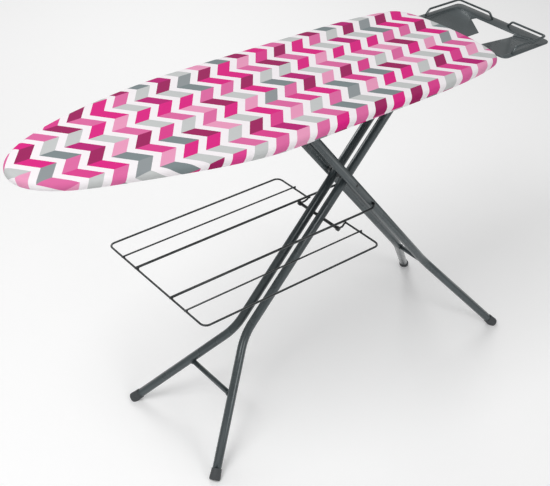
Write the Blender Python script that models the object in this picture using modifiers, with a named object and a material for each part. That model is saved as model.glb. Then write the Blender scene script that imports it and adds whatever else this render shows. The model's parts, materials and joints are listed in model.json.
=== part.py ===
"""Folding ironing board with crossed tube legs, a clothes rack and an iron rest.

Metres, +Z up, floor at Z = 0. +X runs from the nose of the board to the iron rest, and the
centre line of the board is Y = 0. The legs stand open at full working height.
"""

import math

import bmesh
import bpy
from mathutils import Matrix, Vector
from mathutils.geometry import interpolate_bezier

# Overall sizes
BOARD_LENGTH = 1.206
BOARD_WIDTH = 0.400
WORK_HEIGHT = 0.888
REST_REACH = 0.192  # how far the iron rest stands out past the tail of the board

# Clearances
GAP = 0.0003  # between pieces that touch, are welded or are pressed together
RUNNING = 0.0003  # round a shaft that turns in its hole
SLIDING = 0.0005  # beside a piece that slides past another

# Board outline
NOSE_SHOULDER_X = 0.150  # nose tip to where the round nose becomes a taper
NOSE_SHOULDER_HALF = 0.127
NOSE_TAPER_SLOPE = 0.33
NOSE_BLUNTNESS = 0.060
TAPER_END_X = 0.520  # nose tip to where the board reaches its full width
TAIL_SIDE_X = 0.326  # full width ends, this far before the tail
TAIL_CORNER_X = 0.056
TAIL_CORNER_IN = 0.022  # narrower than full width at the start of the tail corner
TAIL_END_HALF = 0.110
TAIL_BULGE = 0.009
NOSE_SHIFT = 0.019  # the nose lies this far over towards the far side
NOSE_SHIFT_START = 0.540  # nose tip to where the board starts to curve over
NOSE_SHIFT_END = 0.130

# Board layers, from the top down
COVER_THICK = 0.001
COVER_ROUND = 0.005
HEM_WIDTH = 0.022
CORD_DIAMETER = 0.003
FOAM_THICK = 0.006
PANEL_THICK = 0.0008
RIM_DIAMETER = 0.010
STRAP_THICK = 0.003
STRAP_WIDTH = 0.030
HINGE_STRAP_WIDTH = 0.060
FRONT_STRAP_AHEAD = 0.003  # ahead of the slide rails
MIDDLE_STRAP_LAP = 0.010  # over the slide rails' back ends
HOLE_RADIUS = 0.011
HOLE_SPACING_X = 0.070
HOLE_SPACING_Y = 0.062
HOLE_EDGE = 0.034  # holes keep this far from the edge of the board
HOLE_ROWS = 4  # most rows of holes on each side of the centre line

# Legs
LEG_ANGLE = math.radians(49.37)  # above the floor, legs open
FOLDED_ANGLE = math.radians(4.0)  # the rack rod then just clears the outer legs
UPPER_ARM = 0.345  # cross pivot to hinge, and cross pivot to slide rod
HINGE_TO_TAIL = 0.123
AXIS_DROP = 0.035  # hinge and slide rod axes below the working surface
LEG_DIAMETER = 0.0225
LEG_WALL = 0.0012
LEG_BEND = 0.150
INNER_HALF = 0.018  # centre line to the axis of an inner leg
OUTER_HALF = 0.050
INNER_BEND_Z = 0.243
OUTER_BEND_Z = 0.235
INNER_FOOT_HALF = 0.177
OUTER_FOOT_HALF = 0.181
INNER_BAR_Z = 0.140
OUTER_BAR_Z = 0.220
LEG_BAR_DIAMETER = 0.013
TOP_TUBE_DIAMETER = 0.016
TOP_TUBE_WALL = 0.0015
TOP_TUBE_HALF = 0.124
BORE_REACH = 0.130  # a cutter this long each way passes through the top tube
SLIDE_ROD_DIAMETER = 0.012
AXLE_DIAMETER = 0.008
SPACER_DIAMETER = 0.014

# Feet
FOOT_LENGTH = 0.029  # along the leg, from the floor to the top of the cap
FOOT_END = 0.0005  # along the leg, from the floor to the blunt end of the cap
FOOT_TOP_RADIUS = 0.0127
FOOT_MIDDLE_RADIUS = 0.0129
FOOT_BOTTOM_RADIUS = 0.0138
FOOT_FLARE = 0.009
FOOT_ROUND = 0.003
FOOT_SOLE = 0.004

# Fittings under the board
BRACKET_HALF = 0.118
BRACKET_THICK = 0.003
BRACKET_RADIUS = 0.0135
BRACKET_FLANGE = 0.012
BRACKET_FLANGE_HALF = 0.026
BRACKET_FLANGE_THICK = 0.002
BRACKET_SPREAD = 0.006  # wider at its root than at its round end, on each side
CAP_FLANGE = 0.0105
CAP_THICK = 0.003
CAP_DEPTH = 0.010
RAIL_HALF = 0.112
RAIL_THICK = 0.0015
RAIL_FLANGE = 0.016
RAIL_LEAD = 0.035  # rail ahead of the folded slide rod
RAIL_TAIL = 0.017  # rail behind the open slide rod
RAIL_LIP = 0.006  # web left below the slot
SHOE_RADIUS = 0.0075
SHOE_FLANGE = 0.0105
SHOE_INNER = 0.105
SHOE_FLANGE_THICK = 0.003
SHOE_OUTER = 0.118

# Height latch
LATCH_Y = 0.085
LATCH_THICK = 0.002
LATCH_HEIGHT = 0.010
LATCH_PITCH = 0.022
LATCH_TOOTH = 0.0045  # depth of the gaps between the teeth
LATCH_FLANK = 0.003  # run of a tooth's sloping side
LATCH_CREST = 0.006  # width of a tooth's flat end
LATCH_HANDLE_REACH = 0.046  # latch handle beyond the open slide rod
LATCH_HANDLE_DIAMETER = 0.006
LATCH_HANDLE_END = 0.172
GRIP_LENGTH = 0.042
GRIP_DIAMETER = 0.012
GUIDE_SIZE = 0.012
GUIDE_AHEAD = 0.010  # front guide ahead of the folded slide rod
GUIDE_BEHIND = 0.022  # back guide behind the open slide rod
GUIDE_CLEAR = 0.006  # guide to the nearest tooth
GUIDE_DROP = 0.021
SPRING_LENGTH = 0.060
SPRING_WIDTH = 0.008
SPRING_THICK = 0.0006

# Clothes rack
RACK_ROD_Z = 0.5065  # height on the inner legs where the rod lies behind them
RACK_RISE = 0.007  # rack frame above its rod
RACK_LENGTH = 0.515
RACK_HALF = 0.186
RACK_AHEAD = 0.0259  # rack frame beyond the rod, on the iron rest's side
RACK_WIRE = 0.005
RACK_CORNER = 0.015
RACK_OPEN_HALF = 0.067  # half of the break in the rack's back wire
RACK_END_RUN = 0.006
RACK_END_BEND = 0.004
RACK_ARM_HALF = 0.0675
RACK_ARM_DIAMETER = 0.006
RACK_SLAT_HALF = 0.122
RACK_SLAT_DIAMETER = 0.004
RACK_OVERHANG = 0.006
RACK_ROD_DIAMETER = 0.008
RACK_ROD_HALF = 0.0745
SLEEVE_DIAMETER = 0.012
SLEEVE_INNER = 0.0665
SLEEVE_OUTER = 0.0735
HOOK_Z = 0.518
HOOK_SLOT_LENGTH = 0.010
HOOK_SLOT_WIDTH = 0.005
HOOK_BACK = 0.003
HOOK_RISE = 0.004

# Iron rest
REST_DROP = 0.026  # top of the rest below the working surface
REST_HALF = 0.150
REST_START = 0.019  # behind the tail of the board
REST_CORNER = 0.016
REST_THICK = 0.0018
REST_BAND_RISE = 0.0022
REST_SIDE_BAND = 0.015
REST_END_BAND = 0.038
REST_BAND_START = 0.004
REST_CHAMFER = 0.016
REST_FAR_WING = 0.061  # centre line to the far wing, at the end band
REST_NEAR_WING = 0.072
REST_TONGUE = 0.008
REST_TONGUE_LENGTH = 0.066
REST_BAR_HALF = 0.100
REST_BAR_DIAMETER = 0.008
REST_BAR_DROP_X = 0.060
GUARD_DIAMETER = 0.0055
GUARD_RISE = 0.017
GUARD_SIDE_IN = 0.008
GUARD_END_IN = 0.014
GUARD_SIDE_LENGTH = 0.125
GUARD_END_LENGTH = 0.104
GUARD_LEAN = 0.013
GUARD_BEND = 0.008

# Places worked out from the sizes above
HALF_WIDTH = BOARD_WIDTH / 2
NOSE_X = -(BOARD_LENGTH + REST_REACH) / 2
TAIL_X = NOSE_X + BOARD_LENGTH
REST_END_X = TAIL_X + REST_REACH
HINGE = Vector((TAIL_X - HINGE_TO_TAIL, 0, WORK_HEIGHT - AXIS_DROP))
FORWARD = Vector((-math.cos(LEG_ANGLE), 0, -math.sin(LEG_ANGLE)))
BACKWARD = Vector((math.cos(LEG_ANGLE), 0, -math.sin(LEG_ANGLE)))
BEHIND = Vector((math.sin(LEG_ANGLE), 0, -math.cos(LEG_ANGLE)))  # out of the inner legs' backs
PIVOT = HINGE + UPPER_ARM * FORWARD
SLIDER = PIVOT - UPPER_ARM * BACKWARD
SLIDER_FOLDED_X = HINGE.x - 2 * UPPER_ARM * math.cos(FOLDED_ANGLE)
LEG_RADIUS = LEG_DIAMETER / 2
OUTER_FACE = OUTER_HALF + LEG_RADIUS
FOAM_TOP = WORK_HEIGHT - COVER_THICK - GAP
PANEL_TOP = FOAM_TOP - FOAM_THICK - GAP
RIM_TOP = PANEL_TOP - PANEL_THICK - GAP
RIM_Z = RIM_TOP - RIM_DIAMETER / 2
HEM_TOP = RIM_TOP - RIM_DIAMETER - GAP
COVER_BOTTOM = HEM_TOP - COVER_THICK
SKIN_INSET = COVER_THICK + GAP  # where the foam and the rim start, inside the cover
STRAP_TOP = RIM_TOP
STRAP_BOTTOM = STRAP_TOP - STRAP_THICK
FITTING_TOP = STRAP_BOTTOM - GAP
RAIL_X0 = SLIDER_FOLDED_X - RAIL_LEAD
RAIL_X1 = SLIDER.x + RAIL_TAIL
SLOT_HALF = SHOE_RADIUS + SLIDING
LATCH_BOTTOM = SLIDER.z + SLIDE_ROD_DIAMETER / 2 + SLIDING
LATCH_TOP = LATCH_BOTTOM + LATCH_HEIGHT
GUIDE_FRONT_X = SLIDER_FOLDED_X - SLIDE_ROD_DIAMETER / 2 - GUIDE_AHEAD
GUIDE_BACK_X = SLIDER.x + SLIDE_ROD_DIAMETER / 2 + GUIDE_BEHIND
LATCH_HANDLE_X = SLIDER.x + LATCH_HANDLE_REACH
REST_TOP = WORK_HEIGHT - REST_DROP
REST_X0 = TAIL_X + REST_START


def on_leg(direction, z):
    """The point on a leg's axis, in the plane Y = 0, at this height."""
    return PIVOT + direction * ((z - PIVOT.z) / direction.z)


RACK_ROD = on_leg(FORWARD, RACK_ROD_Z) + BEHIND * (LEG_RADIUS + GAP + RACK_ROD_DIAMETER / 2)
RACK_Z = RACK_ROD.z + RACK_RISE
RACK_X1 = RACK_ROD.x + RACK_AHEAD
RACK_X0 = RACK_X1 - RACK_LENGTH
HOOK = on_leg(BACKWARD, HOOK_Z)


# Scene, materials and joint axes


def new_collection(name, helper=False):
    made = bpy.data.collections.new(name)
    bpy.context.scene.collection.children.link(made)
    made.hide_render = helper
    return made


def new_material(name, color, roughness, metallic=0.0):
    made = bpy.data.materials.new(name)
    made.use_nodes = True
    made.diffuse_color = (*color, 1.0)
    shader = made.node_tree.nodes["Principled BSDF"]
    shader.inputs["Base Color"].default_value = (*color, 1.0)
    shader.inputs["Roughness"].default_value = roughness
    shader.inputs["Metallic"].default_value = metallic
    return made


def new_axis(name, place):
    """An empty on a joint's axis, which carries the pieces that turn or slide there."""
    made = bpy.data.objects.new(name, None)
    made.location = place
    made.empty_display_size = 0.05
    PARTS.objects.link(made)
    return made


def keep(obj, material, axis=None, smooth=False):
    """Finishes a part: into the parts collection, with its material, on its axis."""
    for old in list(obj.users_collection):
        old.objects.unlink(obj)
    PARTS.objects.link(obj)
    obj.data.materials.clear()
    obj.data.materials.append(material)
    if smooth and obj.type == "MESH":
        obj.data.shade_smooth()
    if axis:
        obj.parent = axis
        obj.matrix_parent_inverse = Matrix.Translation(axis.location).inverted()
    return obj


# Shapes


def rounded(points, radius, steps=5):
    """The path through these points with each inner corner turned into an arc."""
    points = [Vector(point) for point in points]
    path = [points[0]]
    for before, corner, after in zip(points, points[1:], points[2:]):
        to_before = (before - corner).normalized()
        to_after = (after - corner).normalized()
        half = to_before.angle(to_after) / 2
        reach = radius / math.tan(half)
        centre = corner + (to_before + to_after).normalized() * radius / math.sin(half)
        start = corner + to_before * reach - centre
        end = corner + to_after * reach - centre
        for step in range(steps + 1):
            path.append(centre + start.slerp(end, step / steps).normalized() * radius)
    return path + [points[-1]]


def wire(name, path, diameter, resolution=2, closed=False):
    """A round bar along a path of straight and finely stepped stretches."""
    curve = bpy.data.curves.new(name, "CURVE")
    curve.dimensions = "3D"
    curve.bevel_depth = diameter / 2
    curve.bevel_resolution = resolution
    curve.use_fill_caps = True
    spline = curve.splines.new("POLY")
    spline.points.add(len(path) - 1)
    for point, place in zip(spline.points, path):
        point.co = (*place, 1.0)
    spline.use_cyclic_u = closed
    spline.use_smooth = True
    made = bpy.data.objects.new(name, curve)
    CUTTERS.objects.link(made)
    return made


def plate(name, outlines, thickness, z, edge=0.0):
    """A flat sheet of one outline, with any further outlines as holes. z is its underside."""
    curve = bpy.data.curves.new(name, "CURVE")
    curve.dimensions = "2D"
    curve.fill_mode = "BOTH"
    curve.extrude = thickness / 2 - edge
    curve.bevel_depth = edge
    curve.bevel_resolution = 2
    for outline in outlines:
        spline = curve.splines.new("POLY")
        spline.points.add(len(outline) - 1)
        for point, place in zip(spline.points, outline):
            point.co = (place[0], place[1], 0.0, 1.0)
        spline.use_cyclic_u = True
    made = bpy.data.objects.new(name, curve)
    made.location.z = z + thickness / 2
    CUTTERS.objects.link(made)
    return made


def stand_up(obj, y):
    """Turns a plate drawn in X and Z up on edge, with its middle at this Y."""
    obj.location = (0, y, 0)
    obj.rotation_euler = (math.radians(90), 0, 0)
    return obj


def as_mesh(obj):
    """The same object as a mesh with welded caps, ready for a Boolean."""
    bpy.context.view_layer.update()
    graph = bpy.context.evaluated_depsgraph_get()
    mesh = bpy.data.meshes.new_from_object(obj.evaluated_get(graph))
    shape = bmesh.new()
    shape.from_mesh(mesh)
    bmesh.ops.remove_doubles(shape, verts=shape.verts, dist=0.000001)
    bmesh.ops.recalc_face_normals(shape, faces=shape.faces)
    shape.to_mesh(mesh)
    shape.free()
    name = obj.name
    made = bpy.data.objects.new(name + "_solid", mesh)
    made.matrix_world = obj.matrix_world.copy()
    bpy.data.objects.remove(obj)
    made.name = name
    CUTTERS.objects.link(made)
    return made


def box(name, low, high):
    made = bpy.data.meshes.new(name)
    shape = bmesh.new()
    bmesh.ops.create_cube(shape, size=1.0)
    size = Vector(high) - Vector(low)
    bmesh.ops.scale(shape, vec=size, verts=shape.verts)
    shape.to_mesh(made)
    shape.free()
    obj = bpy.data.objects.new(name, made)
    obj.location = (Vector(high) + Vector(low)) / 2
    CUTTERS.objects.link(obj)
    return obj


def round_bar(name, diameter, y0, y1, place, sides=24):
    """A plain cylinder along Y, from y0 to y1, through a point of the plane Y = 0."""
    made = bpy.data.meshes.new(name)
    shape = bmesh.new()
    bmesh.ops.create_cone(
        shape,
        cap_ends=True,
        segments=sides,
        radius1=diameter / 2,
        radius2=diameter / 2,
        depth=abs(y1 - y0),
    )
    shape.to_mesh(made)
    shape.free()
    obj = bpy.data.objects.new(name, made)
    obj.location = (place[0], (y0 + y1) / 2, place[2])
    obj.rotation_euler = (math.radians(90), 0, 0)
    CUTTERS.objects.link(obj)
    return obj


def turned(name, profile, place, along, steps=24):
    """A turned piece. Its profile of (radius, height) runs down the outer side."""
    made = bpy.data.meshes.new(name)
    shape = bmesh.new()
    points = [shape.verts.new((radius, 0, height)) for radius, height in profile]
    for first, second in zip(points, points[1:]):
        shape.edges.new((first, second))
    shape.to_mesh(made)
    shape.free()
    obj = bpy.data.objects.new(name, made)
    turn = obj.modifiers.new("turn", "SCREW")
    turn.steps = steps
    turn.render_steps = steps
    turn.use_merge_vertices = True
    turn.merge_threshold = 0.00001
    obj.location = place
    obj.rotation_euler = Vector(along).to_track_quat("Z", "Y").to_euler()
    CUTTERS.objects.link(obj)
    return obj


def boolean(obj, other, operation="DIFFERENCE"):
    """Cuts the other mesh from this one, or joins it on."""
    change = obj.modifiers.new(operation.lower(), "BOOLEAN")
    change.operation = operation
    change.solver = "EXACT"
    change.object = other
    other.hide_render = True
    other.display_type = "WIRE"
    return obj


# The board


def nose_shift_at(x):
    """How far the middle of the board lies towards the far side at this X."""
    share = (NOSE_X + NOSE_SHIFT_START - x) / (NOSE_SHIFT_START - NOSE_SHIFT_END)
    share = min(max(share, 0.0), 1.0)
    return NOSE_SHIFT * share**2 * (3 - 2 * share)


def board_outline(inset=0.0):
    """The plan outline of the board, from the nose round the far side, drawn in by inset."""
    shoulder = Vector((NOSE_X + NOSE_SHOULDER_X, NOSE_SHOULDER_HALF))
    taper = Vector((1.0, NOSE_TAPER_SLOPE)).normalized()
    taper_start = NOSE_X + TAPER_END_X
    tail_start = TAIL_X - TAIL_SIDE_X
    corner = Vector((TAIL_X - TAIL_CORNER_X, HALF_WIDTH - TAIL_CORNER_IN))
    corner_run = Vector((1.0, -0.27))
    end = Vector((TAIL_X - TAIL_BULGE, TAIL_END_HALF))
    end_run = Vector((-0.19, 1.0))
    side = Vector((1.0, 0.0))
    stretches = [
        ((NOSE_X, 0), (NOSE_X, NOSE_BLUNTNESS), shoulder - taper * 0.088, shoulder, 9),
        (shoulder, shoulder + taper * 0.088, (taper_start - 0.12, HALF_WIDTH),
         (taper_start, HALF_WIDTH), 7),
        ((taper_start, HALF_WIDTH), Vector((taper_start, HALF_WIDTH)) + side * 0.05,
         Vector((tail_start, HALF_WIDTH)) - side * 0.05, (tail_start, HALF_WIDTH), 2),
        ((tail_start, HALF_WIDTH), (tail_start + 0.12, HALF_WIDTH),
         corner - corner_run * 0.06, corner, 5),
        (corner, corner + corner_run * 0.03, end + end_run * 0.036, end, 6),
        (end, end - end_run * 0.035, (TAIL_X, 0.040), (TAIL_X, 0), 4),
    ]
    half = []
    for start, leave, arrive, finish, steps in stretches:
        ends = [Vector((*point, 0)) for point in (start, leave, arrive, finish)]
        half += interpolate_bezier(*ends, steps + 1)[:-1]
    half.append(Vector((TAIL_X, 0, 0)))
    mirrored = [Vector((point.x, -point.y, 0)) for point in reversed(half[1:-1])]
    ring = [point + Vector((0, nose_shift_at(point.x), 0)) for point in half + mirrored]
    drawn = []
    for index, point in enumerate(ring):
        along = (ring[(index + 1) % len(ring)] - ring[index - 1]).normalized()
        drawn.append(point + inset * Vector((along.y, -along.x, 0)))
    return drawn


def edge_at(x, inset, side):
    """The Y of the board's edge at this X, on one side, drawn in by inset."""
    ring = board_outline(inset)
    tail = len(ring) // 2
    line = ring[: tail + 1] if side > 0 else ring[:1] + ring[:tail - 1:-1]
    for first, second in zip(line, line[1:]):
        if first.x <= x <= second.x:
            share = (x - first.x) / (second.x - first.x)
            return first.y + share * (second.y - first.y)
    raise ValueError(f"no board at X = {x}")


def make_cover():
    """Cotton cover: flat top, rounded edge, and a hem turned in under the rim."""
    depth = WORK_HEIGHT - COVER_BOTTOM
    outline = board_outline(COVER_ROUND)
    cover = as_mesh(plate("cotton_cover", [outline], depth, COVER_BOTTOM, COVER_ROUND))
    hollow_edge = COVER_ROUND - COVER_THICK
    hollow = plate("cover_hollow", [outline], depth - 2 * COVER_THICK, HEM_TOP, hollow_edge)
    boolean(cover, as_mesh(hollow))
    mouth = plate("cover_mouth", [board_outline(HEM_WIDTH)], 0.008, COVER_BOTTOM - 0.002)
    boolean(cover, as_mesh(mouth))
    keep(cover, COTTON)


def make_hem_cord():
    """Draw cord that lies inside the turned-in hem."""
    inset = HEM_WIDTH - CORD_DIAMETER / 2
    z = HEM_TOP + GAP + CORD_DIAMETER / 2
    path = [(point.x, point.y, z) for point in board_outline(inset)]
    keep(wire("hem_cord", path, CORD_DIAMETER, 1, closed=True), CORD)


def make_foam():
    edge = COVER_ROUND - COVER_THICK - GAP
    outline = board_outline(SKIN_INSET + edge)
    foam = plate("foam_underlay", [outline], FOAM_THICK * 2, FOAM_TOP - FOAM_THICK * 2, edge)
    foam = as_mesh(foam)
    low = (NOSE_X - 0.1, -BOARD_WIDTH, FOAM_TOP - FOAM_THICK * 3)
    high = (TAIL_X + 0.1, BOARD_WIDTH, FOAM_TOP - FOAM_THICK)
    boolean(foam, box("foam_trim", low, high))
    keep(foam, FOAM)


def make_panel():
    """Steel top panel with staggered vent holes."""
    outline = board_outline(SKIN_INSET)
    panel = as_mesh(plate("vented_panel", [outline], PANEL_THICK, PANEL_TOP - PANEL_THICK))
    mesh = bpy.data.meshes.new("panel_holes")
    shape = bmesh.new()
    columns = int((BOARD_LENGTH - 2 * HOLE_EDGE) / HOLE_SPACING_X)
    for column in range(1, columns + 1):
        x = NOSE_X + HOLE_EDGE + column * HOLE_SPACING_X
        low = edge_at(x, HOLE_EDGE, -1) + HOLE_RADIUS
        high = edge_at(x, HOLE_EDGE, 1) - HOLE_RADIUS
        shift = (column % 2) / 2
        for row in range(-HOLE_ROWS, HOLE_ROWS + 1):
            y = (row + shift) * HOLE_SPACING_Y
            if low <= y <= high:
                place = Matrix.Translation((x, y, PANEL_TOP - PANEL_THICK / 2))
                bmesh.ops.create_cone(
                    shape,
                    cap_ends=True,
                    segments=8,
                    radius1=HOLE_RADIUS,
                    radius2=HOLE_RADIUS,
                    depth=4 * PANEL_THICK,
                    matrix=place,
                )
    shape.to_mesh(mesh)
    shape.free()
    holes = bpy.data.objects.new("panel_holes", mesh)
    CUTTERS.objects.link(holes)
    boolean(panel, holes)
    keep(panel, STEEL)


def make_rim():
    inset = SKIN_INSET + RIM_DIAMETER / 2
    path = [(point.x, point.y, RIM_Z) for point in board_outline(inset)]
    keep(wire("rim_frame", path, RIM_DIAMETER, 3, closed=True), STEEL)


def make_straps():
    """Flat cross straps between the two sides of the rim, which carry the fittings."""
    inset = SKIN_INSET + RIM_DIAMETER + GAP
    spans = {
        "front_strap": (RAIL_X0 - FRONT_STRAP_AHEAD, STRAP_WIDTH),
        "middle_strap": (RAIL_X1 - MIDDLE_STRAP_LAP, STRAP_WIDTH),
        "hinge_strap": (HINGE.x - HINGE_STRAP_WIDTH / 2, HINGE_STRAP_WIDTH),
    }
    for name, (x0, width) in spans.items():
        x1 = x0 + width
        near = max(edge_at(x0, inset, -1), edge_at(x1, inset, -1))
        far = min(edge_at(x0, inset, 1), edge_at(x1, inset, 1))
        strap = box(name, (x0, near, STRAP_BOTTOM), (x1, far, STRAP_TOP - GAP))
        keep(strap, STEEL)


# Fittings under the board


def make_hinge_bracket(side, name):
    """Lug with a flange, in which the top tube of the inner legs turns."""
    arc = [
        (HINGE.x + BRACKET_RADIUS * math.cos(turn), HINGE.z + BRACKET_RADIUS * math.sin(turn))
        for turn in [math.pi + math.pi * step / 10 for step in range(11)]
    ]
    outline = arc + [
        (HINGE.x + BRACKET_RADIUS + BRACKET_SPREAD, FITTING_TOP),
        (HINGE.x - BRACKET_RADIUS - BRACKET_SPREAD, FITTING_TOP),
    ]
    lug = plate("hinge_bracket_" + name, [outline], BRACKET_THICK, 0)
    lug = as_mesh(stand_up(lug, side * BRACKET_HALF))
    inner = BRACKET_HALF - BRACKET_THICK / 2 - BRACKET_FLANGE
    near, far = sorted((side * inner, side * BRACKET_HALF))
    low = (HINGE.x - BRACKET_FLANGE_HALF, near, FITTING_TOP - BRACKET_FLANGE_THICK)
    high = (HINGE.x + BRACKET_FLANGE_HALF, far, FITTING_TOP)
    flange = box(f"hinge_flange_{name}", low, high)
    boolean(lug, flange, "UNION")
    diameter = TOP_TUBE_DIAMETER + 2 * RUNNING
    ends = (side * (BRACKET_HALF - BRACKET_THICK), side * (BRACKET_HALF + BRACKET_THICK))
    boolean(lug, round_bar(f"hinge_bore_{name}", diameter, *ends, HINGE))
    keep(lug, STEEL)


def make_slide_rail(side, name):
    """Angle rail with the long slot in which the slide rod of the outer legs runs."""
    y0 = side * RAIL_HALF - RAIL_THICK / 2
    y1 = side * RAIL_HALF + RAIL_THICK / 2
    bottom = SLIDER.z - SLOT_HALF - RAIL_LIP
    rail = box("slide_rail_" + name, (RAIL_X0, y0, bottom), (RAIL_X1, y1, FITTING_TOP))
    out = sorted((side * RAIL_HALF, side * (RAIL_HALF + RAIL_FLANGE)))
    low = (RAIL_X0, out[0], FITTING_TOP - RAIL_THICK)
    high = (RAIL_X1, out[1], FITTING_TOP)
    boolean(rail, box(f"rail_flange_{name}", low, high), "UNION")
    centres = (SLIDER_FOLDED_X, SLIDER.x)
    slot = []
    for centre, first in zip(centres, (math.pi / 2, -math.pi / 2)):
        for step in range(9):
            turn = first + math.pi * step / 8
            x = centre + SLOT_HALF * math.cos(turn)
            slot.append((x, SLIDER.z + SLOT_HALF * math.sin(turn)))
    cutter = stand_up(plate(f"rail_slot_{name}", [slot], 0.02, 0), side * RAIL_HALF)
    boolean(rail, as_mesh(cutter))
    keep(rail, STEEL)


def make_rest_bar(side, name):
    """Round bar welded under the hinge strap, which reaches out under the iron rest."""
    radius = REST_BAR_DIAMETER / 2
    y = side * REST_BAR_HALF
    high = FITTING_TOP - radius
    low = REST_TOP - REST_BAND_RISE - REST_THICK - GAP - radius
    start = HINGE.x - HINGE_STRAP_WIDTH / 2 + 0.004
    drop = HINGE.x + TOP_TUBE_DIAMETER
    points = [
        (start, y, high),
        (drop, y, high),
        (drop + REST_BAR_DROP_X, y, low),
        (REST_END_X - 0.020, y, low),
    ]
    bar = wire("rest_bar_" + name, rounded(points, 0.030, 4), REST_BAR_DIAMETER, 3)
    keep(bar, STEEL)


def make_latch():
    """Toothed bar above the slide rod. Lifting its handle frees the rod along the rails."""
    x0 = GUIDE_FRONT_X - GUIDE_SIZE / 2 - 0.004
    x1 = LATCH_HANDLE_X + LATCH_HANDLE_DIAMETER / 2 + 0.002
    outline = [(x1, LATCH_TOP), (x0, LATCH_TOP), (x0, LATCH_BOTTOM)]
    first = GUIDE_FRONT_X + GUIDE_SIZE / 2 + GUIDE_CLEAR
    last = GUIDE_BACK_X - GUIDE_SIZE / 2 - GUIDE_CLEAR
    gap = LATCH_PITCH - LATCH_CREST
    for tooth in range(int((last - first) / LATCH_PITCH)):
        x = first + tooth * LATCH_PITCH
        outline.append((x, LATCH_BOTTOM))
        outline.append((x + LATCH_FLANK, LATCH_BOTTOM + LATCH_TOOTH))
        outline.append((x + gap - LATCH_FLANK, LATCH_BOTTOM + LATCH_TOOTH))
        outline.append((x + gap, LATCH_BOTTOM))
    outline.append((x1, LATCH_BOTTOM))
    bar = as_mesh(stand_up(plate("latch_bar", [outline], LATCH_THICK, 0), LATCH_Y))
    keep(bar, ZINC, LATCH_AXIS)
    z = LATCH_BOTTOM + LATCH_HEIGHT / 2
    place = (LATCH_HANDLE_X, 0, z)
    start = LATCH_Y + LATCH_THICK / 2 + GAP
    handle = round_bar(
        "latch_handle", LATCH_HANDLE_DIAMETER, start, LATCH_HANDLE_END, place, 16
    )
    keep(handle, ZINC, LATCH_AXIS, smooth=True)
    radius = GRIP_DIAMETER / 2
    bore = LATCH_HANDLE_DIAMETER / 2 + GAP
    floor = GRIP_LENGTH - 0.003
    profile = [
        (0, 0.003),
        (bore, 0.003),
        (bore, GRIP_LENGTH),
        (radius - 0.001, GRIP_LENGTH),
        (radius, GRIP_LENGTH - 0.001),
        (radius, 0.001),
        (radius - 0.001, 0),
        (0, 0),
    ]
    end = (LATCH_HANDLE_X, LATCH_HANDLE_END + GRIP_LENGTH - floor + GAP, z)
    keep(turned("latch_grip", profile, end, (0, -1, 0), 20), RUBBER, LATCH_AXIS)


def make_latch_guides():
    for x, name in ((GUIDE_FRONT_X, "front"), (GUIDE_BACK_X, "back")):
        half = GUIDE_SIZE / 2
        low = (x - half, LATCH_Y - half, FITTING_TOP - GUIDE_DROP)
        high = (x + half, LATCH_Y + half, FITTING_TOP)
        guide = box("latch_guide_" + name, low, high)
        slot_half = LATCH_THICK / 2 + SLIDING
        low = (x - GUIDE_SIZE, LATCH_Y - slot_half, LATCH_BOTTOM - GAP)
        high = (x + GUIDE_SIZE, LATCH_Y + slot_half, FITTING_TOP + 0.005)
        boolean(guide, box(f"guide_slot_{name}", low, high))
        keep(guide, PLASTIC)


def make_latch_spring():
    """Bowed leaf spring between the top panel and the latch bar."""
    top = PANEL_TOP - PANEL_THICK - GAP
    bottom = LATCH_TOP + GAP
    rise = top - bottom - SPRING_THICK
    middle = (GUIDE_FRONT_X + GUIDE_BACK_X) / 2
    upper = []
    for step in range(13):
        along = step / 12
        height = rise * math.sin(math.pi * along) ** 2
        upper.append((middle + (along - 0.5) * SPRING_LENGTH, bottom + height))
    lower = [(x, z + SPRING_THICK) for x, z in reversed(upper)]
    spring = stand_up(plate("latch_spring", [upper + lower], SPRING_WIDTH, 0), LATCH_Y)
    keep(as_mesh(spring), ZINC)


# Legs


def leg_path(top, direction, half, bend_z, foot_half, side, stop):
    """The axis of one leg: straight from its top, then splayed out to its foot."""
    knee = on_leg(direction, bend_z) + Vector((0, side * half, 0))
    ground = on_leg(direction, 0) + Vector((0, side * foot_half, 0))
    down = (ground - knee).normalized()
    start = top + Vector((0, side * half, 0))
    return rounded([start, knee, ground - down * stop], LEG_BEND, 8), ground, down


def foot_stop(down):
    """How far a leg's tube stops above the ground, along the leg, to leave the sole."""
    lean = math.sqrt(1 - down.z**2)
    return (FOOT_SOLE + LEG_RADIUS * lean) / -down.z


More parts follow.
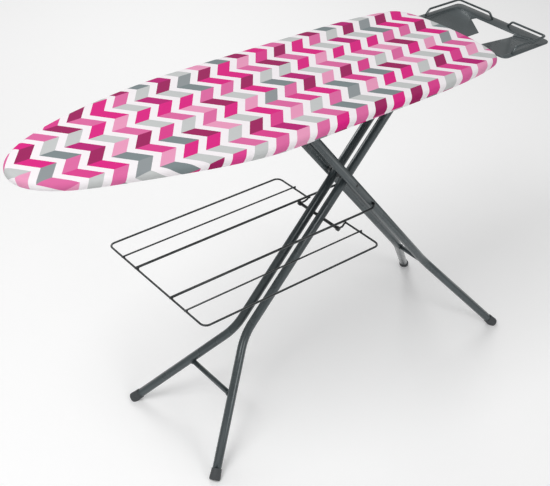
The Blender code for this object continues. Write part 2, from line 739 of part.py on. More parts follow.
def make_leg(frame, side, name, axis):
    """One leg tube with its cross holes, and the foot cap on its end."""
    if frame == "inner":
        sizes = (HINGE, FORWARD, INNER_HALF, INNER_BEND_Z, INNER_FOOT_HALF, side)
        top_radius = TOP_TUBE_DIAMETER / 2
    else:
        sizes = (SLIDER, BACKWARD, OUTER_HALF, OUTER_BEND_Z, OUTER_FOOT_HALF, side)
        top_radius = SLIDE_ROD_DIAMETER / 2
    down = leg_path(*sizes, 0)[2]
    stop = foot_stop(down)
    path, ground, down = leg_path(*sizes, stop)
    label = f"{frame}_leg_{name}"
    tube = as_mesh(wire(label, path, LEG_DIAMETER, 6))
    longer = [path[0] - sizes[1] * 0.02] + path[1:-1] + [path[-1] + down * 0.02]
    bore = as_mesh(wire(f"{label}_bore", longer, LEG_DIAMETER - 2 * LEG_WALL, 5))
    boolean(tube, bore)
    y = side * sizes[2]
    reach = LEG_DIAMETER
    saddle = 2 * (top_radius + GAP)
    boolean(tube, round_bar(f"{label}_saddle", saddle, y - reach, y + reach, sizes[0]))
    hole = AXLE_DIAMETER + 2 * RUNNING
    boolean(tube, round_bar(f"{label}_pivot_hole", hole, y - reach, y + reach, PIVOT))
    if frame == "outer":
        boolean(tube, hook_slot(side, name))
    keep(tube, STEEL, axis, smooth=True)
    make_foot(f"{frame}_foot_{name}", ground, down, stop, axis)


def hook_slot(side, name):
    """The slot in the outer wall of an outer leg, for the hook of a rack arm."""
    slot = box(
        f"hook_slot_{name}",
        (-HOOK_SLOT_LENGTH / 2, -LEG_WALL * 2, -HOOK_SLOT_WIDTH / 2),
        (HOOK_SLOT_LENGTH / 2, LEG_WALL * 2, HOOK_SLOT_WIDTH / 2),
    )
    slot.location = (HOOK.x, side * OUTER_FACE, HOOK.z)
    slot.rotation_euler = (0, LEG_ANGLE, 0)
    return slot


def make_foot(label, ground, down, stop, axis):
    """Rubber cap over the end of a leg, blunt, and cut flat where it stands on the floor."""
    bore = LEG_RADIUS + GAP
    floor = stop - GAP
    profile = [
        (0, floor),
        (bore, floor),
        (bore, FOOT_LENGTH),
        (FOOT_TOP_RADIUS, FOOT_LENGTH),
        (FOOT_MIDDLE_RADIUS, FOOT_END + 2 * FOOT_FLARE),
        (FOOT_BOTTOM_RADIUS, FOOT_END + FOOT_FLARE),
    ]
    for step in range(4):
        turn = math.pi / 2 * step / 3
        radius = FOOT_BOTTOM_RADIUS - FOOT_ROUND * (1 - math.cos(turn))
        profile.append((radius, FOOT_END + FOOT_ROUND * (1 - math.sin(turn))))
    profile.append((0, FOOT_END))
    foot = turned(label, profile, ground, -down)
    reach = 2 * FOOT_LENGTH
    low = ground + Vector((-reach, -reach, -reach))
    high = ground + Vector((reach, reach, 0))
    boolean(foot, box(f"{label}_floor", low, high))
    keep(foot, RUBBER, axis)


def make_leg_bar(frame, direction, half, bend_z, foot_half, z, axis):
    """Cross bar between the splayed ends of two legs, shaped round their tubes."""
    place = on_leg(direction, z)
    share = (bend_z - z) / bend_z
    reach = half + share * (foot_half - half)
    bar = round_bar(f"{frame}_cross_bar", LEG_BAR_DIAMETER, -reach, reach, place, 20)
    top = HINGE if frame == "inner" else SLIDER
    for side, name in SIDES:
        path = leg_path(top, direction, half, bend_z, foot_half, side, 0.01)[0]
        cutter = wire(f"{frame}_bar_cut_{name}", path, LEG_DIAMETER + 2 * GAP, 6)
        boolean(bar, as_mesh(cutter))
    keep(bar, STEEL, axis, smooth=True)


def make_top_tube():
    """Tube across the top of the inner legs, which turns in the hinge brackets."""
    tube = round_bar("inner_top_tube", TOP_TUBE_DIAMETER, -TOP_TUBE_HALF, TOP_TUBE_HALF, HINGE)
    diameter = TOP_TUBE_DIAMETER - 2 * TOP_TUBE_WALL
    boolean(tube, round_bar("top_tube_bore", diameter, -BORE_REACH, BORE_REACH, HINGE, 20))
    keep(tube, STEEL, FOLD_AXIS, smooth=True)
    plug = TOP_TUBE_DIAMETER / 2 - TOP_TUBE_WALL - GAP
    for side, name in SIDES:
        profile = [
            (0, CAP_THICK),
            (CAP_FLANGE - 0.001, CAP_THICK),
            (CAP_FLANGE, CAP_THICK - 0.001),
            (CAP_FLANGE, 0),
            (plug, 0),
            (plug, -CAP_DEPTH),
            (0, -CAP_DEPTH),
        ]
        place = HINGE + Vector((0, side * (TOP_TUBE_HALF + GAP), 0))
        cap = turned(f"top_tube_cap_{name}", profile, place, (0, side, 0))
        keep(cap, PLASTIC, FOLD_AXIS)


def make_slide_rod():
    """Rod across the top of the outer legs, with a plastic shoe in each rail."""
    rod = round_bar("slide_rod", SLIDE_ROD_DIAMETER, -SHOE_OUTER, SHOE_OUTER, SLIDER)
    keep(rod, ZINC, CROSS_AXIS, smooth=True)
    bore = SLIDE_ROD_DIAMETER / 2 + GAP
    for side, name in SIDES:
        length = SHOE_OUTER - SHOE_INNER
        ring = [
            (bore, 0),
            (bore, length),
            (SHOE_RADIUS, length),
            (SHOE_RADIUS, SHOE_FLANGE_THICK),
            (SHOE_FLANGE, SHOE_FLANGE_THICK),
            (SHOE_FLANGE, 0),
            (bore, 0),
        ]
        place = SLIDER + Vector((0, side * SHOE_INNER, 0))
        shoe = turned(f"slide_shoe_{name}", ring, place, (0, side, 0))
        keep(shoe, PLASTIC, CROSS_AXIS)


def make_axle():
    """Cross axle through all four legs, with the spacers that hold the legs apart."""
    axle = round_bar("pivot_axle", AXLE_DIAMETER, -OUTER_FACE, OUTER_FACE, PIVOT)
    soften = axle.modifiers.new("edge", "BEVEL")
    soften.width = 0.0008
    soften.segments = 2
    keep(axle, ZINC, FOLD_AXIS)
    inner = INNER_HALF - LEG_RADIUS - GAP
    near = INNER_HALF + LEG_RADIUS + GAP
    far = OUTER_HALF - LEG_RADIUS - GAP
    hollow = AXLE_DIAMETER + 2 * RUNNING
    spacer = round_bar("centre_spacer", SPACER_DIAMETER, -inner, inner, PIVOT)
    boolean(spacer, round_bar("centre_spacer_bore", hollow, -far, far, PIVOT))
    keep(spacer, PLASTIC, FOLD_AXIS, smooth=True)
    for side, name in SIDES:
        ends = (side * near, side * far)
        spacer = round_bar(f"side_spacer_{name}", SPACER_DIAMETER, *ends, PIVOT)
        boolean(spacer, round_bar(f"side_spacer_bore_{name}", hollow, 0, side * OUTER_FACE, PIVOT))
        keep(spacer, PLASTIC, CROSS_AXIS, smooth=True)


# Clothes rack


def make_rack_frame():
    """Outer wire of the rack. Its ends turn in and down to the sleeves on the rod."""
    sleeve_x = RACK_ROD.x + SLEEVE_DIAMETER / 2 + GAP + RACK_WIRE / 2
    sleeve_y = (SLEEVE_INNER + SLEEVE_OUTER) / 2
    points = [
        (sleeve_x, -sleeve_y, RACK_ROD.z),
        (sleeve_x + RACK_END_RUN, -sleeve_y, RACK_ROD.z),
        (RACK_X1, -RACK_OPEN_HALF, RACK_Z),
        (RACK_X1, -RACK_HALF, RACK_Z),
        (RACK_X0, -RACK_HALF, RACK_Z),
    ]
    path = points + [(x, -y, z) for x, y, z in reversed(points)]
    near_end = rounded(path[:4], RACK_END_BEND, 3)[:-1]
    ring = rounded(path[2:8], RACK_CORNER, 5)[1:-1]
    far_end = rounded(path[6:], RACK_END_BEND, 3)[1:]
    frame = wire("rack_frame", near_end + ring + far_end, RACK_WIRE)
    keep(frame, DARK_STEEL, RACK_AXIS)


def make_rack_wires(side, name):
    """The thick arm that reaches to the outer leg, and the thin slat beside it."""
    rest = RACK_Z + RACK_WIRE / 2 + GAP
    z = rest + RACK_ARM_DIAMETER / 2
    x0 = RACK_X0 - RACK_OVERHANG
    y = side * RACK_ARM_HALF
    hook_x = HOOK.x - HOOK_BACK
    hook_y = side * (OUTER_FACE + SLIDING + RACK_ARM_DIAMETER / 2)
    points = [(x0, y, z), (hook_x, y, z), (hook_x + HOOK_RISE, hook_y, HOOK_Z + HOOK_RISE)]
    arm = wire(f"rack_arm_{name}", rounded(points, 0.007, 3), RACK_ARM_DIAMETER, 3)
    keep(arm, DARK_STEEL, RACK_AXIS)
    z = rest + RACK_SLAT_DIAMETER / 2
    y = side * RACK_SLAT_HALF
    x1 = RACK_X1 + RACK_WIRE / 2
    slat = wire(f"rack_slat_{name}", [(x0, y, z), (x1, y, z)], RACK_SLAT_DIAMETER)
    keep(slat, DARK_STEEL, RACK_AXIS)


def make_rack_rod():
    """Rod welded behind the inner legs, and the rack's sleeves that turn on it."""
    rod = round_bar("rack_rod", RACK_ROD_DIAMETER, -RACK_ROD_HALF, RACK_ROD_HALF, RACK_ROD)
    keep(rod, DARK_STEEL, FOLD_AXIS, smooth=True)
    hollow = RACK_ROD_DIAMETER + 2 * RUNNING
    for side, name in SIDES:
        ends = (side * SLEEVE_INNER, side * SLEEVE_OUTER)
        sleeve = round_bar(f"rack_sleeve_{name}", SLEEVE_DIAMETER, *ends, RACK_ROD)
        boolean(sleeve, round_bar(f"sleeve_bore_{name}", hollow, 0, side * RACK_HALF, RACK_ROD))
        keep(sleeve, DARK_STEEL, RACK_AXIS, smooth=True)


# Iron rest


def arc_corner(x, y, radius, start, steps=5):
    """A quarter circle about a corner's centre, counter-clockwise from this angle."""
    return [
        (x + radius * math.cos(start + math.pi / 2 * step / steps),
         y + radius * math.sin(start + math.pi / 2 * step / steps))
        for step in range(steps + 1)
    ]


def rest_outline(inset=0.0):
    """Plan outline of the iron rest, a rectangle with round corners."""
    radius = REST_CORNER - inset if inset < REST_CORNER else 0.002
    x0 = REST_X0 + inset + radius
    x1 = REST_END_X - inset - radius
    y = REST_HALF - inset - radius
    outline = arc_corner(x1, -y, radius, -math.pi / 2)
    outline += arc_corner(x1, y, radius, 0)
    outline += arc_corner(x0, y, radius, math.pi / 2)
    outline += arc_corner(x0, -y, radius, math.pi)
    return outline


def rest_opening():
    """The cut-out between the two wings of the rest, open towards the board."""
    band = REST_END_X - REST_END_BAND
    start = REST_X0 - 0.020
    return [
        (band - REST_CHAMFER, REST_FAR_WING),
        (band, REST_FAR_WING - 0.003),
        (band, -REST_NEAR_WING),
        (band - 0.029, -REST_NEAR_WING + 0.001),
        (start, -REST_NEAR_WING + 0.020),
        (start, -REST_TONGUE),
        (band - REST_TONGUE_LENGTH, -REST_TONGUE),
    ]


def rest_recess():
    """Outline of the sunk area that both wings lie in, inside the raised band."""
    band = REST_END_X - REST_END_BAND
    side = REST_HALF - REST_SIDE_BAND
    far = [
        (band - REST_CHAMFER, REST_FAR_WING + 0.003),
        (band + 0.006, side - 0.024),
        (band + 0.008, side - 0.007),
        (band - REST_CHAMFER, side),
        (REST_X0 + REST_BAND_START, side),
    ]
    return far + [(x, -y) for x, y in reversed(far)]


def make_rest():
    """Pressed steel iron rest: two sunk wings inside a raised band."""
    low = REST_TOP - REST_BAND_RISE - REST_THICK
    rest = as_mesh(plate("iron_rest", [rest_outline()], REST_THICK, low))
    raised = [rest_outline(), rest_recess()]
    band = plate("rest_band", raised, REST_BAND_RISE + REST_THICK, low)
    boolean(rest, as_mesh(band), "UNION")
    opening = plate("rest_opening", [rest_opening()], 0.03, REST_TOP - 0.015)
    boolean(rest, as_mesh(opening))
    keep(rest, STEEL)


def make_guard_rail(side, name):
    """Wire rail that stands on a corner of the rest and stops the iron sliding off."""
    radius = GUARD_DIAMETER / 2
    foot = REST_TOP + GAP
    top = REST_TOP + GUARD_RISE - radius
    y = side * (REST_HALF - GUARD_SIDE_IN)
    x = REST_END_X - GUARD_END_IN
    first = x - GUARD_SIDE_LENGTH
    last = side * (REST_HALF - GUARD_SIDE_IN - GUARD_END_LENGTH)
    points = [
        (first, y, foot),
        (first + GUARD_LEAN, y, top),
        (x, y, top),
        (x, last, top),
        (x, last - side * GUARD_LEAN, foot),
    ]
    rail = wire("guard_rail_" + name, rounded(points, GUARD_BEND, 4), GUARD_DIAMETER)
    low = Vector((first - 0.05, -REST_HALF - 0.05, foot - 0.02))
    high = Vector((x + 0.05, REST_HALF + 0.05, foot))
    rail = as_mesh(rail)
    boolean(rail, box(f"guard_trim_{name}", low, high))
    keep(rail, STEEL, smooth=True)


# The build

for existing in list(bpy.data.objects):
    bpy.data.objects.remove(existing)

PARTS = new_collection("ironing_board")
CUTTERS = new_collection("cutters", helper=True)
SIDES = ((-1, "near"), (1, "far"))

COTTON = new_material("printed_cotton", (0.86, 0.42, 0.62), 0.85)
CORD = new_material("white_cord", (0.80, 0.78, 0.76), 0.8)
FOAM = new_material("grey_foam", (0.55, 0.55, 0.55), 0.95)
STEEL = new_material("slate_powder_coat", (0.095, 0.115, 0.12), 0.42, 0.35)
DARK_STEEL = new_material("dark_wire_coat", (0.035, 0.042, 0.043), 0.4, 0.35)
ZINC = new_material("zinc_plate", (0.55, 0.56, 0.58), 0.35, 1.0)
PLASTIC = new_material("grey_plastic", (0.10, 0.11, 0.115), 0.5)
RUBBER = new_material("black_rubber", (0.025, 0.026, 0.028), 0.7)

FOLD_AXIS = new_axis("fold_axis", HINGE)
CROSS_AXIS = new_axis("cross_axis", PIVOT)
RACK_AXIS = new_axis("rack_axis", RACK_ROD)
LATCH_AXIS = new_axis("latch_axis", (LATCH_HANDLE_X, LATCH_Y, LATCH_BOTTOM))

make_cover()
make_hem_cord()
make_foam()
make_panel()
make_rim()
make_straps()
make_latch()
make_latch_guides()
make_latch_spring()
make_top_tube()
make_slide_rod()
make_axle()
make_rack_frame()
make_rack_rod()
make_rest()
inner_bar = (INNER_HALF, INNER_BEND_Z, INNER_FOOT_HALF, INNER_BAR_Z, FOLD_AXIS)
outer_bar = (OUTER_HALF, OUTER_BEND_Z, OUTER_FOOT_HALF, OUTER_BAR_Z, CROSS_AXIS)
make_leg_bar("inner", FORWARD, *inner_bar)
make_leg_bar("outer", BACKWARD, *outer_bar)
for side_sign, side_name in SIDES:
    make_hinge_bracket(side_sign, side_name)
    make_slide_rail(side_sign, side_name)
    make_rest_bar(side_sign, side_name)
    make_leg("inner", side_sign, side_name, FOLD_AXIS)
    make_leg("outer", side_sign, side_name, CROSS_AXIS)
    make_rack_wires(side_sign, side_name)
    make_guard_rail(side_sign, side_name)
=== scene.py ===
"""Looks of the folding ironing board: printed cover, coated steel legs, rack and iron rest."""

import json
import math

import bmesh
import bpy
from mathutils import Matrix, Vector
from mathutils.geometry import convex_hull_2d


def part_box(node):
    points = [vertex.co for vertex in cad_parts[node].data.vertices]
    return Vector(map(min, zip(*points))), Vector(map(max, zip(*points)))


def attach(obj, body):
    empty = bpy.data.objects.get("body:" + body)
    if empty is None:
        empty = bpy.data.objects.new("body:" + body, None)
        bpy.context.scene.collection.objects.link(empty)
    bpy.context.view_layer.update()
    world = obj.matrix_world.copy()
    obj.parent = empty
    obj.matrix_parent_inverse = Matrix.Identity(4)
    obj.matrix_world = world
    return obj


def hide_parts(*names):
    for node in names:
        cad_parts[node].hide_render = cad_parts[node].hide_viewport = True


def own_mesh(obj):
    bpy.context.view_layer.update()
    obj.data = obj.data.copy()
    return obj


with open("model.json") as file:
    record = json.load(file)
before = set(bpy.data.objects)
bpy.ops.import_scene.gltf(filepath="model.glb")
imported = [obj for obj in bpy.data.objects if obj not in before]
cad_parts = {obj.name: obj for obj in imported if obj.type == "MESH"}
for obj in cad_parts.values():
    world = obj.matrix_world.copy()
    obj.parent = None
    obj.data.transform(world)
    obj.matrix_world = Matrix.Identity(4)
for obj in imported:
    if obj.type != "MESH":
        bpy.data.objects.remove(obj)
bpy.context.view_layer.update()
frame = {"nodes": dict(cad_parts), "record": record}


# Camera and studio
# The board stands on a plain pale floor, seen from its near side and a little above.
# Three soft area lights and a dim pale room light it, and the floor glows very slightly.
eye = bpy.data.cameras.new("camera")
eye.lens = 68.4
eye.sensor_width = 36.0
eye.shift_x = 0.0534
eye.shift_y = 0.0056
camera = bpy.data.objects.new("camera", eye)
camera.location = (-1.416, -1.543, 1.909)
camera.rotation_euler = [math.radians(turn) for turn in (54.906, -1.843, -38.479)]
bpy.context.scene.collection.objects.link(camera)
bpy.context.scene.camera = camera

for name, place, target, size, power in (
    ("window_light", (-2.0, -0.3, 3.3), (0.1, 0.0, 0.5), 1.6, 58.0),
    ("front_light", (0.4, -3.6, 2.2), (0.1, 0.0, 0.45), 1.4, 24.0),
    ("back_light", (1.6, 2.8, 2.8), (0.0, 0.0, 0.4), 1.8, 38.0),
):
    lamp = bpy.data.lights.new(name, "AREA")
    lamp.energy = power
    lamp.size = size
    light = bpy.data.objects.new(name, lamp)
    light.location = place
    aim = Vector(target) - Vector(place)
    light.rotation_euler = aim.to_track_quat("-Z", "Y").to_euler()
    bpy.context.scene.collection.objects.link(light)

room = bpy.data.worlds.new("room")
room.use_nodes = True
room.node_tree.nodes["Background"].inputs["Color"].default_value = (1.0, 1.0, 1.0, 1.0)
room.node_tree.nodes["Background"].inputs["Strength"].default_value = 0.40
bpy.context.scene.world = room
bpy.context.scene.view_settings.view_transform = "Standard"


def deselect():
    """Leaves nothing selected, so that an operator acts only on what comes next."""
    if bpy.context.mode != "OBJECT":
        bpy.ops.object.mode_set(mode="OBJECT")
    bpy.ops.object.select_all(action="DESELECT")


deselect()
bpy.ops.mesh.primitive_plane_add(size=14.0, location=(0.0, 0.0, 0.0))
floor = bpy.context.object
floor.name = "floor"
pale = bpy.data.materials.new("pale_floor")
pale.use_nodes = True
paint = pale.node_tree.nodes["Principled BSDF"].inputs
paint["Base Color"].default_value = (0.95, 0.95, 0.95, 1.0)
paint["Emission Color"].default_value = (1.0, 1.0, 1.0, 1.0)
paint["Emission Strength"].default_value = 0.10
paint["Roughness"].default_value = 0.7
floor.data.materials.append(pale)


# Coated leg tubes
# Bent steel tube in a slate grey powder coat, which is slightly pebbled and half glossy.
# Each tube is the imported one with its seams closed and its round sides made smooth.
class Port:
    """One socket of a material's nodes. Arithmetic on it adds Math nodes."""

    def __init__(self, tree, socket=None):
        self.tree = tree
        self.socket = socket

    def node(self, kind, sockets, output=0, stops=None, **settings):
        made = self.tree.nodes.new(kind)
        for name, value in settings.items():
            setattr(made, name, value)
        if stops:
            ramp = made.color_ramp
            ramp.interpolation = "CONSTANT" if len(stops) > 4 else "LINEAR"
            while len(ramp.elements) < len(stops):
                ramp.elements.new(1.0)
            for element, (place, color) in zip(ramp.elements, stops):
                element.position = place
                element.color = (*color, 1.0)
        for key, value in sockets.items():
            if isinstance(value, Port):
                self.tree.links.new(value.socket, made.inputs[key])
            else:
                made.inputs[key].default_value = value
        return Port(self.tree, made.outputs[output])

    def math(self, operation, *values):
        return self.node("ShaderNodeMath", dict(enumerate(values)), operation=operation)

    def __add__(self, other):
        return self.math("ADD", self, other)

    def __sub__(self, other):
        return self.math("SUBTRACT", self, other)

    def __rsub__(self, other):
        return self.math("SUBTRACT", other, self)

    def __mul__(self, other):
        return self.math("MULTIPLY", self, other)

    def __truediv__(self, other):
        return self.math("DIVIDE", self, other)

    def __mod__(self, other):
        return self.math("FLOORED_MODULO", self, other)

    def __gt__(self, other):
        return self.math("GREATER_THAN", self, other)

    def __lt__(self, other):
        return self.math("LESS_THAN", self, other)

    __radd__ = __add__
    __rmul__ = __mul__

    def mix(self, first, second):
        """The first colour where this is 0, the second where it is 1."""
        sockets = {0: self, 6: first, 7: second}
        return self.node("ShaderNodeMix", sockets, output=2, data_type="RGBA")


def new_finish(name, **constants):
    """A material, its shader's sockets and a place to start its nodes from."""
    made = bpy.data.materials.new(name)
    made.use_nodes = True
    sockets = made.node_tree.nodes["Principled BSDF"].inputs
    for key, value in constants.items():
        sockets[key.replace("_", " ").title().replace("Ior", "IOR")].default_value = value
    return made, sockets, Port(made.node_tree)


def feed(port, socket):
    port.tree.links.new(port.socket, socket)


def coat(name, color, roughness, metallic):
    """Powder coat: an even colour with a fine pebble, rubbed a little duller in places."""
    made, sockets, start = new_finish(name, metallic=metallic, coat_weight=0.35)
    sockets["Coat Roughness"].default_value = 0.16
    place = start.node("ShaderNodeTexCoord", {}, output=3)
    cloud = start.node("ShaderNodeTexNoise", {"Vector": place, "Scale": 9.0, "Detail": 3.0})
    darker = [channel * 0.84 for channel in color]
    lighter = [min(channel * 1.16, 1.0) for channel in color]
    tint = start.node(
        "ShaderNodeValToRGB", {"Fac": cloud}, stops=[(0.3, darker), (0.7, lighter)]
    )
    feed(tint, sockets["Base Color"])
    feed(roughness - 0.08 + cloud * 0.16, sockets["Roughness"])
    pebble = start.node("ShaderNodeTexNoise", {"Vector": place, "Scale": 900.0, "Detail": 1.0})
    bump = start.node(
        "ShaderNodeBump", {"Height": pebble, "Strength": 0.05, "Distance": 0.0004}
    )
    feed(bump, sockets["Normal"])
    return made


def dressed(node, material, edge=0.0, angle=34.0, body=None):
    """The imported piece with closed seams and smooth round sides, in its real finish."""
    deselect()
    source = frame["nodes"][node]
    piece = bpy.data.objects.new(node + "_finished", source.data.copy())
    bpy.context.scene.collection.objects.link(piece)
    bpy.context.view_layer.objects.active = piece
    piece.select_set(True)
    bpy.ops.object.mode_set(mode="EDIT")
    bpy.ops.mesh.select_all(action="SELECT")
    bpy.ops.mesh.remove_doubles(threshold=0.000002)
    if edge:
        bpy.ops.mesh.dissolve_limited(angle_limit=math.radians(1.0))
    bpy.ops.object.mode_set(mode="OBJECT")
    if edge:
        soften = piece.modifiers.new("edge", "BEVEL")
        soften.width = edge
        soften.segments = 2
        soften.limit_method = "ANGLE"
        soften.angle_limit = math.radians(32.0)
        bpy.ops.object.modifier_apply(modifier="edge")
    bpy.ops.object.shade_smooth_by_angle(angle=math.radians(angle))
    piece.data.materials.clear()
    piece.data.materials.append(material)
    for body_name, members in frame["record"]["behaviour"]["bodies"].items():
        if node in members:
            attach(piece, body or body_name)
    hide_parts(node)
    return piece


slate = coat("slate_coat", (0.064, 0.080, 0.085), 0.27, 0.25)
for side in ("near", "far"):
    dressed(f"inner_leg_{side}", slate)
    dressed(f"outer_leg_{side}", slate)
dressed("inner_top_tube", slate)


# Cross bars and their welds
# A short round bar braces each pair of splayed legs. A bead of weld runs round its ends,
# under the same coat.
def weld_ring(name, place, radius, bead, body):
    deselect()
    bpy.ops.mesh.primitive_torus_add(
        major_segments=28,
        minor_segments=8,
        major_radius=radius,
        minor_radius=bead,
        location=place,
        rotation=(math.radians(90), 0, 0),
    )
    ring = bpy.context.object
    ring.name = name
    bpy.ops.object.transform_apply(location=True, rotation=True, scale=True)
    for vertex in ring.data.vertices:
        around = math.atan2(vertex.co.z - place[2], vertex.co.x - place[0])
        vertex.co.y += 0.0005 * math.sin(9 * around)
    bpy.ops.object.shade_smooth()
    ring.data.materials.append(slate)
    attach(ring, body)
    return ring


for legs in ("inner", "outer"):
    dressed(f"{legs}_cross_bar", slate)
    low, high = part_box(f"{legs}_cross_bar")
    middle = (low + high) / 2
    radius = (high.z - low.z) / 2
    for side, y in (("near", low.y), ("far", high.y)):
        inward = -math.copysign(0.004, y)
        place = (middle.x, y + inward, middle.z)
        weld_ring(f"{legs}_bar_weld_{side}", place, radius + 0.0004, 0.0016, f"{legs}_frame")


# Feet
# Moulded black rubber caps, pushed over the ends of the tubes, with a rolled top lip.
def moulded(name, color, roughness, grain=0.05):
    made, sockets, start = new_finish(name)
    place = start.node("ShaderNodeTexCoord", {}, output=3)
    grains = start.node("ShaderNodeTexNoise", {"Vector": place, "Scale": 260.0, "Detail": 2.0})
    darker = [channel * 0.8 for channel in color]
    tint = start.node("ShaderNodeValToRGB", {"Fac": grains}, stops=[(0.3, darker), (0.7, color)])
    feed(tint, sockets["Base Color"])
    feed(roughness - 0.06 + grains * 0.12, sockets["Roughness"])
    bump = start.node(
        "ShaderNodeBump", {"Height": grains, "Strength": grain, "Distance": 0.001}
    )
    feed(bump, sockets["Normal"])
    return made


rubber = moulded("foot_rubber", (0.060, 0.066, 0.070), 0.62)
for side in ("near", "far"):
    dressed(f"inner_foot_{side}", rubber, edge=0.0006)
    dressed(f"outer_foot_{side}", rubber, edge=0.0006)


# Cross axle and spacers
# One steel axle runs through all four tubes. Grey plastic spacers keep the tubes apart.
axle_steel = coat("axle_coat", (0.020, 0.022, 0.023), 0.35, 0.6)
zinc, zinc_sockets, zinc_start = new_finish("zinc_plate", metallic=1.0)
zinc_place = zinc_start.node("ShaderNodeTexCoord", {}, output=3)
zinc_cloud = zinc_start.node(
    "ShaderNodeTexNoise", {"Vector": zinc_place, "Scale": 120.0, "Detail": 3.0}
)
zinc_tint = zinc_start.node(
    "ShaderNodeValToRGB",
    {"Fac": zinc_cloud},
    stops=[(0.3, (0.50, 0.51, 0.53)), (0.7, (0.66, 0.67, 0.69))],
)
feed(zinc_tint, zinc_sockets["Base Color"])
feed(0.24 + zinc_cloud * 0.18, zinc_sockets["Roughness"])
plastic = moulded("grey_plastic", (0.085, 0.092, 0.096), 0.45, 0.03)
dressed("pivot_axle", axle_steel)
dressed("centre_spacer", plastic, edge=0.0004)
for side in ("near", "far"):
    dressed(f"side_spacer_{side}", plastic, edge=0.0004)
    dressed(f"top_tube_cap_{side}", plastic, edge=0.0003)
    dressed(f"slide_shoe_{side}", plastic, edge=0.0003)
dressed("slide_rod", zinc)


# Clothes rack
# Steel wire in a darker coat: a bent frame, two thick arms and two thin slats, spot-welded
# where they cross, turning on a rod that is welded behind the inner legs.
wire_coat = coat("rack_coat", (0.028, 0.033, 0.034), 0.36, 0.35)
for node in ("rack_frame", "rack_rod"):
    dressed(node, wire_coat)
for side in ("near", "far"):
    for node in ("rack_arm", "rack_slat", "rack_sleeve"):
        dressed(f"{node}_{side}", wire_coat)


def spot_weld(name, place, size):
    deselect()
    bpy.ops.mesh.primitive_uv_sphere_add(segments=14, ring_count=8, radius=size, location=place)
    nugget = bpy.context.object
    nugget.name = name
    nugget.scale = (1.15, 1.25, 0.8)
    bpy.ops.object.transform_apply(location=True, rotation=True, scale=True)
    bpy.ops.object.shade_smooth()
    nugget.data.materials.append(wire_coat)
    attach(nugget, "rack")
    return nugget


frame_low, frame_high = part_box("rack_frame")
wire_in = 0.0025  # half of the frame wire
arm_weld = 0.0034  # radius of the weld on a thick arm
slat_weld = 0.0028
rod_weld = 0.0042
for side in ("near", "far"):
    for node, size in (("rack_arm", arm_weld), ("rack_slat", slat_weld)):
        low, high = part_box(f"{node}_{side}")
        y = (low.y + high.y) / 2
        for end, x in (("front", frame_low.x + wire_in), ("back", frame_high.x - wire_in)):
            spot_weld(f"{node}_weld_{end}_{side}", (x, y, low.z), size)

rod_low, rod_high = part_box("rack_rod")
leg_reach = 0.018  # centre line to the middle of an inner leg
weld_back = 0.0036  # the bead sits this far towards the leg from the rod's middle
weld_up = 0.0030
for side, sign in (("near", -1), ("far", 1)):
    x = (rod_low.x + rod_high.x) / 2 - weld_back
    z = (rod_low.z + rod_high.z) / 2 + weld_up
    bead = spot_weld(f"rod_weld_{side}", (x, sign * leg_reach, z), rod_weld)
    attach(bead, "inner_frame")


# Iron rest
# Pressed sheet steel in the slate coat, with two sunk wings inside a raised band, on two
# bars that reach back under the board. Two wire rails stop the iron from sliding off.
dressed("iron_rest", slate, edge=0.0009, angle=40.0)
for side in ("near", "far"):
    dressed(f"guard_rail_{side}", slate)
    dressed(f"rest_bar_{side}", slate)


# Fittings under the board
# Folded sheet steel straps, hinge lugs and slotted slide rails, welded under the panel.
for node in ("front_strap", "middle_strap", "hinge_strap"):
    dressed(node, slate, edge=0.0004)
for side in ("near", "far"):
    dressed(f"hinge_bracket_{side}", slate, edge=0.0004)
    dressed(f"slide_rail_{side}", slate, edge=0.0003)


# Height latch
# A toothed zinc-plated bar, held down by a bowed leaf spring in two plastic guides, with
# a handle and rubber grip under the far edge of the board.
dressed("latch_bar", zinc, edge=0.0002)
dressed("latch_handle", zinc)
dressed("latch_grip", rubber, edge=0.0003)
spring = dressed("latch_spring", zinc)
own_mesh(spring)
dressed("latch_guide_front", plastic, edge=0.0004)
dressed("latch_guide_back", plastic, edge=0.0004)


# Top panel, rim and foam
# Punched steel panel on a round rim, with a soft grey foam pad on it. The pad stops short
# of the cover's rounded edge.
dressed("vented_panel", slate)
dressed("rim_frame", slate, angle=60.0)
foam_skin = moulded("grey_foam", (0.52, 0.52, 0.53), 0.95, 0.4)
foam = dressed("foam_underlay", foam_skin)
foam_along = 0.991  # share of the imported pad's length
foam_across = 0.974
foam_low, foam_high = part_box("foam_underlay")
foam_middle = (foam_low + foam_high) / 2
for vertex in foam.data.vertices:
    vertex.co.x = foam_middle.x + (vertex.co.x - foam_middle.x) * foam_along
    vertex.co.y = foam_middle.y + (vertex.co.y - foam_middle.y) * foam_across


# Printed cover
# Woven cotton, stretched flat over the foam and pulled tight under the rim by a cord in
# its hem, which gathers the lower edge into small folds. It is printed with folded bands
# of pinks, plum and greys on off-white.
print_start = -0.421  # where stripe 0 starts, along the board
print_top = 0.1686  # the far edge of column 0, across the board
stripe_pitch = 0.0546
column_width = 0.042
band_share = 0.628  # coloured share of each stripe
fold_slant = 0.627  # how far a stripe slants over one column, in stripes
hem_depth = 0.0125  # width of the plain hem
stitch_low = 0.0105  # the row of stitches, from the hem's end
stitch_high = 0.0117
stitch_length = 0.004
stitch_share = 0.7  # thread's share of each stitch's length
inks = {
    "M": (0.700, 0.004, 0.215),
    "D": (0.330, 0.003, 0.100),
    "V": (0.470, 0.004, 0.165),
    "R": (0.690, 0.040, 0.255),
    "P": (0.710, 0.135, 0.350),
    "L": (0.800, 0.315, 0.500),
    "K": (0.195, 0.240, 0.247),
    "G": (0.265, 0.295, 0.305),
    "S": (0.545, 0.565, 0.560),
}
